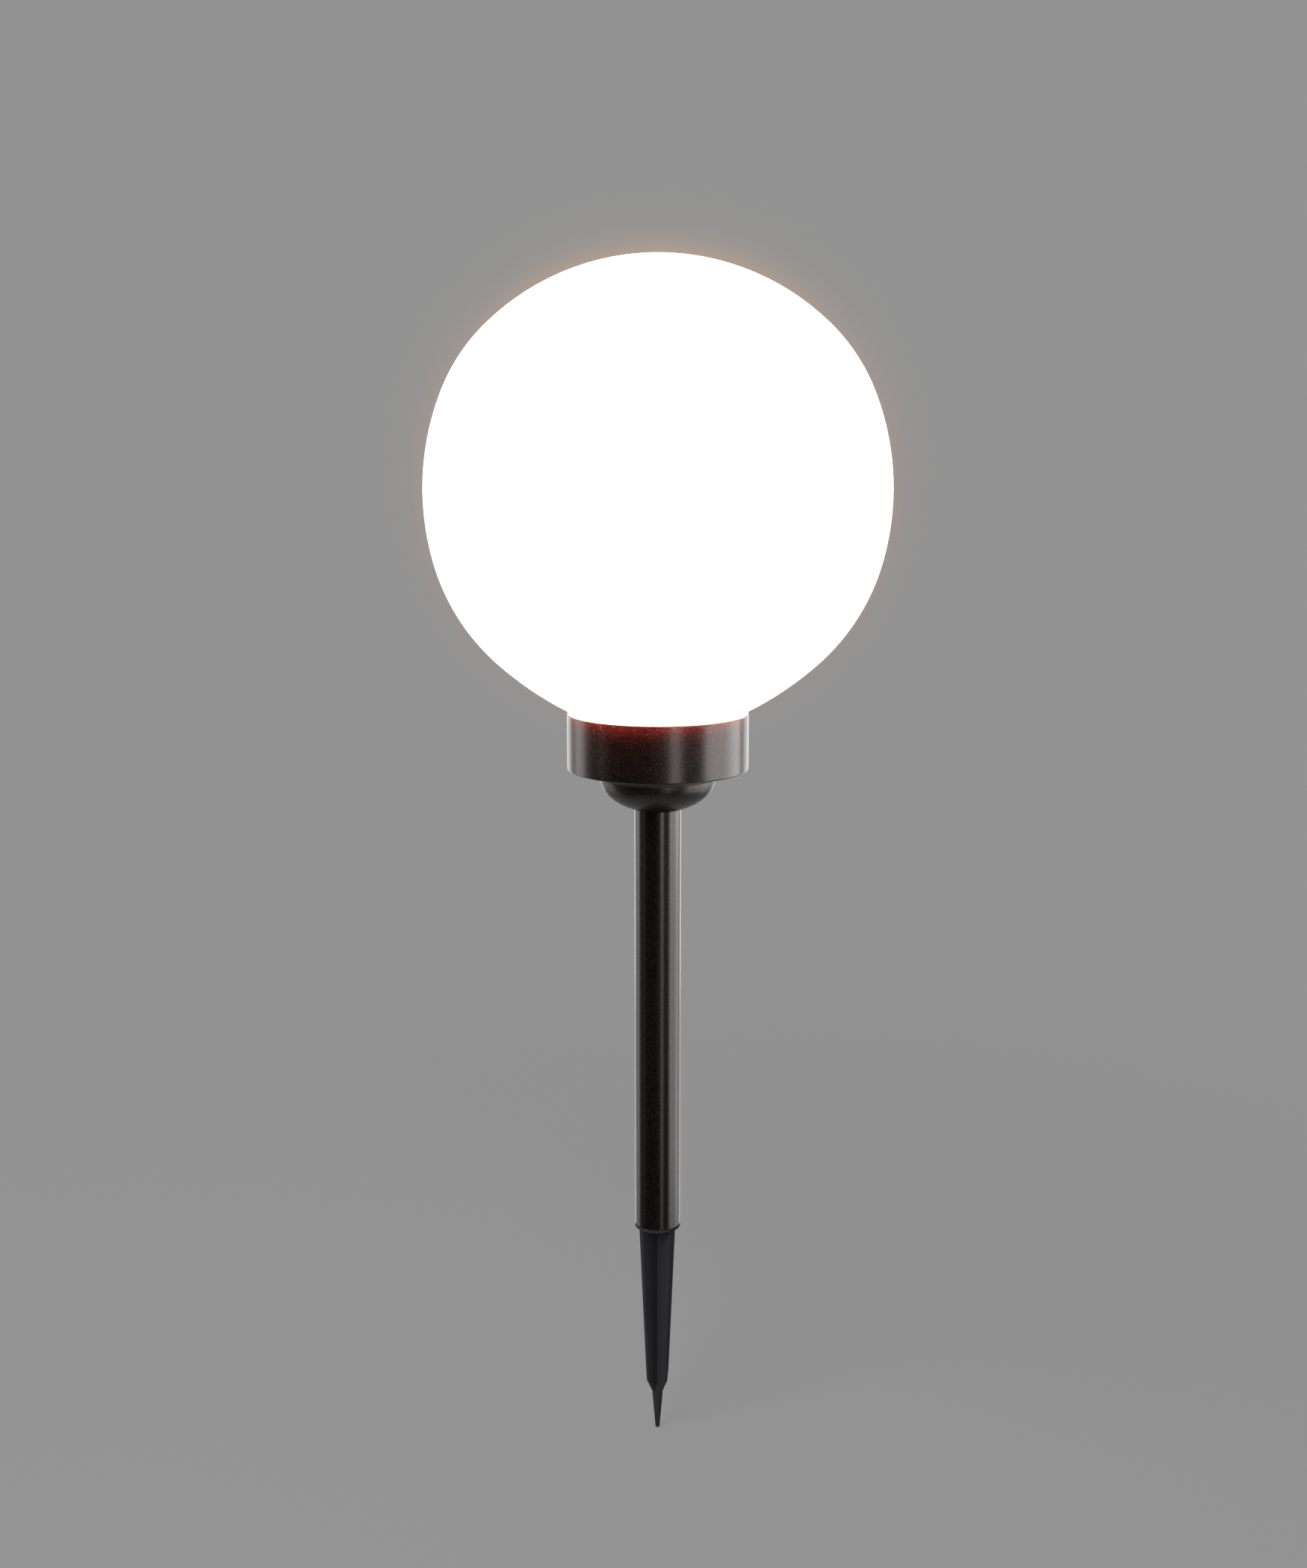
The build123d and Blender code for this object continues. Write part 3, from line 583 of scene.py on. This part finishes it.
# ------------------------------------------------------- solar panel and lamp head
class GLOBELIGHT_OT_solar_panel(bpy.types.Operator):
    """Finish the solar strips with their printed grid, and the clear window over them."""

    bl_idname = "globelight.solar_panel"
    bl_label = "Solar panel"

    def execute(self, context):
        # Silicon, textured and coated: deep blue with cloudy crystal patches.
        material, tree, shader, place = surface(
            "silicon_coated_blue", linear("141c33"), 0.22, 3.0, 0.004, tint=0.35, IOR=1.9)
        parts = add_node(tree, "ShaderNodeSeparateXYZ", {0: place})
        # Printed silver: fingers every 1.6 mm across each strip and a bus down its middle.
        # Real fingers are 0.1 mm wide and are drawn 0.25 mm wide so that they show. The
        # shift by 200 pitches keeps every place above zero.
        lines = []
        for axis, pitch, width, shift in (("Y", 1.6, 0.25, 0), ("X", 8.8, 1.1, 4.4)):
            moved = add_node(tree, "ShaderNodeMath", {
                0: parts.outputs[axis], 1: (200 * pitch + shift) * MM},
                operation="ADD").outputs[0]
            within = add_node(tree, "ShaderNodeMath", {0: moved, 1: pitch * MM},
                              operation="MODULO").outputs[0]
            lines.append(add_node(tree, "ShaderNodeMath", {
                0: within, 1: pitch / 2 * MM, 2: width / 2 * MM}, operation="COMPARE").outputs[0])
        printed = add_node(tree, "ShaderNodeMath", {0: lines[0], 1: lines[1]},
                           operation="MAXIMUM").outputs[0]
        mark(tree, shader, printed, linear("b9bcc2"), 0.9)
        dress(material, "solar_cells")
        # Polycarbonate, moulded clear and polished: a hard bright gloss.
        dress(surface("polycarbonate_polished_clear", linear("f4f6f6"), 0.06, 8.0, 0.002,
                      IOR=1.585, Transmission_Weight=1.0)[0], "panel_window")
        return {"FINISHED"}


class GLOBELIGHT_OT_light_source(bpy.types.Operator):
    """Finish the light board, its emitters and the frosted dome."""

    bl_idname = "globelight.light_source"
    bl_label = "Light source"

    def execute(self, context):
        # Aluminium board under white solder mask: a plain eggshell white.
        dress(surface("aluminium_board_white_mask", linear("e9e9e4"), 0.4, 0.6, 0.006,
                      IOR=1.53)[0], "light_board")
        # Phosphor in silicone gel: yellow, and bright while the light is on.
        dress(surface("silicone_phosphor_gel", linear("f0d34a"), 0.4, 0.3, 0.004, IOR=1.41,
                      Emission_Color=rgba(linear("ffe2a8")), Emission_Strength=2.0)[0],
              "light_chips")
        # Polycarbonate, moulded and frosted: evenly lit from within.
        dress(surface("polycarbonate_frosted", linear("f1eee6"), 0.55, 0.4, 0.01, IOR=1.585,
                      Emission_Color=rgba(linear("fff0d8")), Emission_Strength=1.2)[0],
              "light_dome")
        return {"FINISHED"}


# --------------------------------------------------------------------- electrics
class GLOBELIGHT_OT_electrics(bpy.types.Operator):
    """Finish the cell and its contacts, the control board and its parts, and the leads."""

    bl_idname = "globelight.electrics"
    bl_label = "Electrics"

    def execute(self, context):
        nickel = linear("c9c3b4")
        # PVC sleeve, heat shrunk over the cell: glossy green, with its steel button bare.
        material, tree, shader, place = surface(
            "pvc_heat_shrunk_green", linear("2f7f4f"), 0.3, 2.0, 0.01, IOR=1.53)
        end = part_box("rechargeable_cell")[1].x
        button = stretch(tree, place, "X", end - 1.35 * MM, end + MM)
        mark(tree, shader, button, nickel, 1.0)
        dress(material, "rechargeable_cell")
        # Spring bronze, nickel plated: warm bright metal.
        dress(surface("spring_bronze_nickel_plated", nickel, 0.25, 0.5, 0.004, Metallic=1.0)[0],
              "contact_plate", "contact_leaf")
        # Glass epoxy under green mask: lighter lines where the copper runs, 2.5 mm apart.
        material, tree, shader, place = surface(
            "glass_epoxy_green_mask", linear("1f5a34"), 0.35, 0.8, 0.01, IOR=1.55)
        tracks = add_node(tree, "ShaderNodeTexVoronoi", {"Vector": place, "Scale": 1 / (2.5 * MM)},
                          feature="DISTANCE_TO_EDGE").outputs["Distance"]
        tracks = add_node(tree, "ShaderNodeMath", {0: tracks, 1: 0.08},
                          operation="LESS_THAN").outputs[0]
        mark(tree, shader, tracks, linear("3f8a52"), 0.2)
        dress(material, "control_board")
        # Epoxy, moulded round the chip: matt charcoal.
        dress(surface("epoxy_moulded_charcoal", linear("1d1d1f"), 0.5, 0.2, 0.008, IOR=1.55)[0],
              "driver_chip")
        # Ferrite, pressed, with enamelled copper wound round its waist.
        material, tree, shader, place = surface(
            "ferrite_pressed_copper_wound", linear("2e2d2c"), 0.45, 0.2, 0.01, IOR=1.6)
        low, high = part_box("charging_coil")
        winding = stretch(tree, place, "Z", low.z + MM, high.z - MM)
        mark(tree, shader, winding, linear("b4693c"), 1.0)
        dress(material, "charging_coil")
        # PVC sleeve on a drawn aluminium can: black sides, bright top.
        material, tree, shader, place = surface(
            "pvc_sleeve_aluminium_can", linear("22242a"), 0.32, 0.6, 0.004, IOR=1.53)
        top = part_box("capacitor")[1].z
        lid = stretch(tree, place, "Z", top - 0.1 * MM, top + MM)
        mark(tree, shader, lid, linear("c4c6c8"), 1.0)
        dress(material, "capacitor")
        # PVC insulation, extruded: a soft even gloss.
        for name, code, leads in (("pvc_extruded_red", "a3201c", "red_leads"),
                                  ("pvc_extruded_black", "1a1a1b", "black_leads")):
            dress(surface(name, linear(code), 0.38, 0.5, 0.006, IOR=1.53)[0], leads)
        return {"FINISHED"}


class GLOBELIGHT_OT_switch(bpy.types.Operator):
    """Finish the slide switch."""

    bl_idname = "globelight.switch"
    bl_label = "Slide switch"

    def execute(self, context):
        # Nylon, moulded: satin black, a little lighter than the ABS beside it.
        dress(surface("nylon_moulded_black", linear("242425"), 0.45, 0.4, 0.01, IOR=1.53)[0],
              "switch_body", "switch_slider")
        return {"FINISHED"}


# ------------------------------------------------------------------ stage, lamps
FILL_LEVEL = 0.5           # the room's even white light on the object
BOX_DISTANCE, BOX_TOP = 1.0, 0.9
BOX_FOOT, BOX_SPLIT = -0.47, -0.07
PANEL_FOOT, PANEL_SPLIT = -0.9, -0.2
# Name, bearing and spread in degrees, level, colour, and the share of the level that the
# part below the split has.
SOFTBOXES = (
    ("softbox_right_front", 70, 20, 3.4, "fff8f6", 0.65),
    ("softbox_right_side", 88, 16, 2.6, "fff6f3", 0.62),
    ("softbox_right_back", 110, 27, 3.2, "ffffff", 0.55),
    ("strip_front", 21.5, 12.5, 2.7, "fff5f2", 0.45),
    ("strip_left", -114.5, 21, 1.47, "fffaf8", 0.58),
    ("strip_left_faint", -73, 9, 0.42, "ffe9df", 0.58),
)
BACK_PANELS = (
    ("panel_back_right", 157, 40, 1.15, "ffffff", 0.6),
    ("panel_back_left", -160, 38, 1.05, "ffffff", 0.7),
)


def lamp(name, bearing, distance, low, high, spread, level, warmth="ffffff", tilt=0, **seen_by):
    """A softbox that faces the pole's axis, at a bearing from the camera in degrees.

    Low and high are the heights of its edges when upright, spread the bearing that
    its width covers in degrees, level its brightness, where 1 is white, and tilt
    how far it looks down in degrees.
    """
    data = bpy.data.lights.new(name, "AREA")
    data.shape = "RECTANGLE"
    data.size = 2 * distance * math.tan(math.radians(spread / 2))
    data.size_y = high - low
    data.energy = level * math.pi * data.size * data.size_y
    data.color = linear(warmth)
    holder = bpy.data.objects.new(name, data)
    turn = math.radians(bearing)
    holder.location = (distance * math.sin(turn), -distance * math.cos(turn), (low + high) / 2)
    holder.rotation_euler = (math.radians(90 - tilt), 0, turn)
    holder.visible_camera = False
    for ray, seen in seen_by.items():
        setattr(holder, "visible_" + ray, seen)
    bpy.context.collection.objects.link(holder)
    return holder


def split_box(name, bearing, spread, level, warmth, low_share, foot, split):
    """A softbox that shows in the gloss alone, with a dimmer part below a height."""
    upper = lamp(name + "_high", bearing, BOX_DISTANCE, split, BOX_TOP, spread, level, warmth,
                 diffuse=False)
    lower = lamp(name + "_low", bearing, BOX_DISTANCE, foot, split, spread, level * low_share,
                 warmth, diffuse=False)
    return upper, lower


def aim_at(source, state, thing):
    """Let a light reach one thing only (INCLUDE), or all things but this one (EXCLUDE)."""
    receivers = bpy.data.collections.new(source.name + "_receivers")
    receivers.objects.link(thing)
    receivers.collection_objects[0].light_linking.link_state = state
    source.light_linking.receiver_collection = receivers


def arc_wall(name, start, end, radius, low, high, colour, level, seen_by):
    """A thin upright wall of light round the axis, between two bearings in degrees.

    Only one kind of ray sees it.
    """
    count = round((end - start) / 4)
    turns = [math.radians(start + (end - start) * i / count) for i in range(count + 1)]
    points = [(radius * math.sin(turn), -radius * math.cos(turn), height)
              for turn in turns for height in (low, high)]
    faces = [(2 * i, 2 * i + 2, 2 * i + 3, 2 * i + 1) for i in range(count)]
    mesh = bpy.data.meshes.new(name)
    mesh.from_pydata(points, [], faces)
    material, tree = new_tree(name + "_light")
    glow = add_node(tree, "ShaderNodeEmission", {"Color": rgba(colour), "Strength": level})
    add_node(tree, "ShaderNodeOutputMaterial", {"Surface": glow.outputs[0]})
    mesh.materials.append(material)
    wall = bpy.data.objects.new(name, mesh)
    bpy.context.collection.objects.link(wall)
    for ray in ("camera", "diffuse", "glossy", "transmission", "volume_scatter", "shadow"):
        setattr(wall, "visible_" + ray, ray == seen_by)
    return wall


def backdrop_material(name, studio, lit_share):
    """The background's colour for the camera, with a share of real light and shadow."""
    material, tree = new_tree(name)
    place = add_node(tree, "ShaderNodeTexCoord").outputs["Object"]
    away = add_node(tree, "ShaderNodeVectorMath", {0: place}, operation="LENGTH").outputs["Value"]
    near = add_node(tree, "ShaderNodeMapRange", {
        "Value": away, "From Min": 0.15, "From Max": 0.75, "To Min": lit_share, "To Max": 0.0,
    }, interpolation_type="SMOOTHSTEP").outputs[0]
    camera = add_node(tree, "ShaderNodeLightPath").outputs["Is Camera Ray"]
    even = add_node(tree, "ShaderNodeMath", {0: 1.0, 1: near}, operation="SUBTRACT").outputs[0]
    share = add_node(tree, "ShaderNodeMath", {0: camera, 1: even}, operation="MULTIPLY").outputs[0]
    lit = add_node(tree, "ShaderNodeBsdfDiffuse", {"Color": rgba(studio.background)})
    flat = add_node(tree, "ShaderNodeEmission", {"Color": rgba(studio.background)})
    mixed = add_node(tree, "ShaderNodeMixShader", {
        0: share, 1: lit.outputs[0], 2: flat.outputs[0]})
    add_node(tree, "ShaderNodeOutputMaterial", {"Surface": mixed.outputs[0]})
    return material


def add_floor(studio):
    """A round floor of paper, just below the stake's tip, that keeps the object's shadow."""
    rim = circle(2.5, 0, 72)
    mesh = bpy.data.meshes.new("floor")
    mesh.from_pydata(rim, [], [list(range(len(rim)))])
    mesh.materials.append(backdrop_material("paper_grey_floor", studio, 0.2))
    floor = bpy.data.objects.new("floor", mesh)
    floor.location.z = STAKE_TIP - 0.2 * MM
    floor.visible_glossy = False
    bpy.context.collection.objects.link(floor)


def add_room(scene, studio):
    """The background where it is seen or mirrored, and an even fill of light elsewhere."""
    world = bpy.data.worlds.new("studio")
    world.use_nodes = True
    tree = world.node_tree
    tree.nodes.clear()
    path = add_node(tree, "ShaderNodeLightPath")
    seen = add_node(tree, "ShaderNodeMath", {
        0: path.outputs["Is Camera Ray"], 1: path.outputs["Is Glossy Ray"]},
        operation="MAXIMUM").outputs[0]
    seen = add_node(tree, "ShaderNodeMath", {
        0: seen, 1: path.outputs["Is Transmission Ray"]}, operation="MAXIMUM").outputs[0]
    shown = add_node(tree, "ShaderNodeBackground", {"Color": rgba(studio.background)})
    fill = add_node(tree, "ShaderNodeBackground", {
        "Color": rgba(linear("ffffff")), "Strength": FILL_LEVEL})
    mixed = add_node(tree, "ShaderNodeMixShader", {
        0: seen, 1: fill.outputs[0], 2: shown.outputs[0]})
    add_node(tree, "ShaderNodeOutputWorld", {"Surface": mixed.outputs[0]})
    scene.world = world


def add_camera(scene, studio):
    """The camera, in front of the light and looking a little down."""
    data = bpy.data.cameras.new("camera")
    data.lens = studio.lens
    camera = bpy.data.objects.new("camera", data)
    camera.location = (studio.camera_side, -studio.camera_distance, studio.camera_height)
    camera.rotation_euler = (math.radians(90) - studio.camera_pitch, 0, 0)
    bpy.context.collection.objects.link(camera)
    scene.camera = camera


class GLOBELIGHT_OT_stage(bpy.types.Operator):
    """Set up the floor, the background, the lamps and the camera."""

    bl_idname = "globelight.stage"
    bl_label = "Stage"

    def execute(self, context):
        studio = context.scene.globe_light_studio
        add_floor(studio)
        add_room(context.scene, studio)
        # The main light comes from high on the left, and has no reflection of its own.
        lamp("key_left_high", bearing=-40, distance=1.2, low=0.3, high=1.9, spread=46, level=5.6,
             tilt=40, glossy=False)
        # The stake stands outside the light of the boxes, and only the pole sees the lower
        # part of the back panels.
        pole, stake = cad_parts["pole_tube"], bpy.data.objects["stake_moulding"]
        for looks in SOFTBOXES:
            for part in split_box(*looks, BOX_FOOT, BOX_SPLIT):
                aim_at(part, "EXCLUDE", stake)
        for looks in BACK_PANELS:
            upper, lower = split_box(*looks, PANEL_FOOT, PANEL_SPLIT)
            aim_at(upper, "EXCLUDE", stake)
            aim_at(lower, "INCLUDE", pole)
        # Black felt round the front keeps the pale room out of the gloss.
        arc_wall("black_felt_flags", start=-98, end=58, radius=1.35, low=-1.6, high=1.6,
                 colour=linear("070707"), level=1.0, seen_by="glossy")
        add_camera(context.scene, studio)
        context.scene.view_settings.view_transform = "Standard"
        return {"FINISHED"}


# ------------------------------------------------------------------- globe's glow
HALO_REACH = 45 * MM                       # how far out the lit air is worked out
HALO_DEPTH = 6 * MM                        # distance in which it fades to a third
HALO_LEVEL, HALO_LOW_SHARE = 2.45, 0.2     # at the globe's top, and the share at its foot
SEAT_RADIUS, SEAT_LEVEL = 44 * MM, 127.0


def lit_air_material(studio):
    """Air that glows round the globe: warmest and strongest at its top, and fading outwards."""
    material, tree = new_tree("air_lit_by_globe")
    material.cycles.volume_step_rate = 0.15
    place = add_node(tree, "ShaderNodeTexCoord").outputs["Object"]
    away = add_node(tree, "ShaderNodeVectorMath", {0: place, 1: (0, 0, GLOBE_CENTRE)},
                    operation="DISTANCE").outputs["Value"]
    depth = add_node(tree, "ShaderNodeMapRange", {
        "Value": away, "From Min": GLOBE_RADIUS, "From Max": GLOBE_RADIUS + HALO_DEPTH,
        "To Min": 0.0, "To Max": -1.0}, clamp=False).outputs[0]
    fade = add_node(tree, "ShaderNodeMath", {0: math.e, 1: depth}, operation="POWER").outputs[0]
    outside = add_node(tree, "ShaderNodeMath", {0: away, 1: GLOBE_RADIUS},
                       operation="GREATER_THAN").outputs[0]
    height = add_node(tree, "ShaderNodeSeparateXYZ", {0: place}).outputs["Z"]
    upness = add_node(tree, "ShaderNodeMapRange", {
        "Value": height, "From Min": GLOBE_CENTRE - GLOBE_RADIUS,
        "From Max": GLOBE_CENTRE + GLOBE_RADIUS}).outputs[0]
    squared = add_node(tree, "ShaderNodeMath", {0: upness, 1: 2.0}, operation="POWER").outputs[0]
    level = add_node(tree, "ShaderNodeMapRange", {
        "Value": squared, "To Min": HALO_LOW_SHARE * HALO_LEVEL, "To Max": HALO_LEVEL}).outputs[0]
    strength = add_node(tree, "ShaderNodeMath", {0: fade, 1: level},
                        operation="MULTIPLY").outputs[0]
    strength = add_node(tree, "ShaderNodeMath", {0: strength, 1: outside},
                        operation="MULTIPLY").outputs[0]
    hue = add_node(tree, "ShaderNodeMixRGB", {
        "Fac": upness, "Color1": rgba(studio.halo_foot), "Color2": rgba(studio.halo_top)})
    glow = add_node(tree, "ShaderNodeEmission", {
        "Color": hue.outputs["Color"], "Strength": strength})
    add_node(tree, "ShaderNodeOutputMaterial", {"Volume": glow.outputs[0]})
    return material


class GLOBELIGHT_OT_glow(bpy.types.Operator):
    """Add the light that the globe throws: a faint halo, and the red edge on the collar."""

    bl_idname = "globelight.glow"
    bl_label = "Globe's glow"

    def execute(self, context):
        studio = context.scene.globe_light_studio
        radius, levels, steps = GLOBE_RADIUS + HALO_REACH, 24, 48
        points = []
        for level in range(levels + 1):
            turn = math.pi * level / levels
            points += circle(radius * math.sin(turn), GLOBE_CENTRE + radius * math.cos(turn),
                             steps)
        faces = [(level * steps + i, (level + 1) * steps + i,
                  (level + 1) * steps + (i + 1) % steps, level * steps + (i + 1) % steps)
                 for level in range(levels) for i in range(steps)]
        mesh = bpy.data.meshes.new("lit_air")
        mesh.from_pydata(points, [], faces)
        mesh.validate()
        mesh.materials.append(lit_air_material(studio))
        air = bpy.data.objects.new("lit_air", mesh)
        for ray in ("diffuse", "glossy", "transmission", "shadow"):
            setattr(air, "visible_" + ray, False)
        context.collection.objects.link(air)
        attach(air, "globe")

        # Light that leaks out at the globe's seat lights only the collar below it.
        ring = arc_wall("seat_light", start=0, end=360, radius=SEAT_RADIUS,
                        low=COLLAR_RIM + 0.2 * MM, high=COLLAR_RIM + 3.2 * MM,
                        colour=studio.seat, level=SEAT_LEVEL, seen_by="diffuse")
        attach(ring, "globe")
        aim_at(ring, "INCLUDE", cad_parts["collar_shell"])
        return {"FINISHED"}


# ------------------------------------------------------------- panel and register
PIECES = (
    GLOBELIGHT_OT_metalwork, GLOBELIGHT_OT_globe, GLOBELIGHT_OT_stake,
    GLOBELIGHT_OT_mouldings, GLOBELIGHT_OT_screws, GLOBELIGHT_OT_solar_panel,
    GLOBELIGHT_OT_light_source, GLOBELIGHT_OT_electrics, GLOBELIGHT_OT_switch,
    GLOBELIGHT_OT_stage, GLOBELIGHT_OT_glow)


class GLOBELIGHT_PT_panel(bpy.types.Panel):
    """Lists the light's pieces and its settings."""

    bl_label = "Globe light"
    bl_idname = "GLOBELIGHT_PT_panel"
    bl_space_type = "VIEW_3D"
    bl_region_type = "UI"
    bl_category = "Globe light"

    def draw(self, context):
        for group in (context.scene.globe_light_finish, context.scene.globe_light_studio):
            for name in group.__annotations__:
                self.layout.prop(group, name)
        for piece in PIECES:
            self.layout.operator(piece.bl_idname)


CLASSES = (GlobeLightFinish, GlobeLightStudio, *PIECES, GLOBELIGHT_PT_panel)


def register():
    """Register the classes and hang their settings on the scene."""
    for kind in CLASSES:
        bpy.utils.register_class(kind)
    bpy.types.Scene.globe_light_finish = bpy.props.PointerProperty(type=GlobeLightFinish)
    bpy.types.Scene.globe_light_studio = bpy.props.PointerProperty(type=GlobeLightStudio)


def unregister():
    """Take away what register added."""
    del bpy.types.Scene.globe_light_studio
    del bpy.types.Scene.globe_light_finish
    for kind in reversed(CLASSES):
        bpy.utils.unregister_class(kind)


def main():
    """Register the pieces, dress the light and set the stage."""
    register()
    for piece in PIECES:
        group, name = piece.bl_idname.split(".")
        getattr(getattr(bpy.ops, group), name)()


if __name__ == "__main__":
    main()
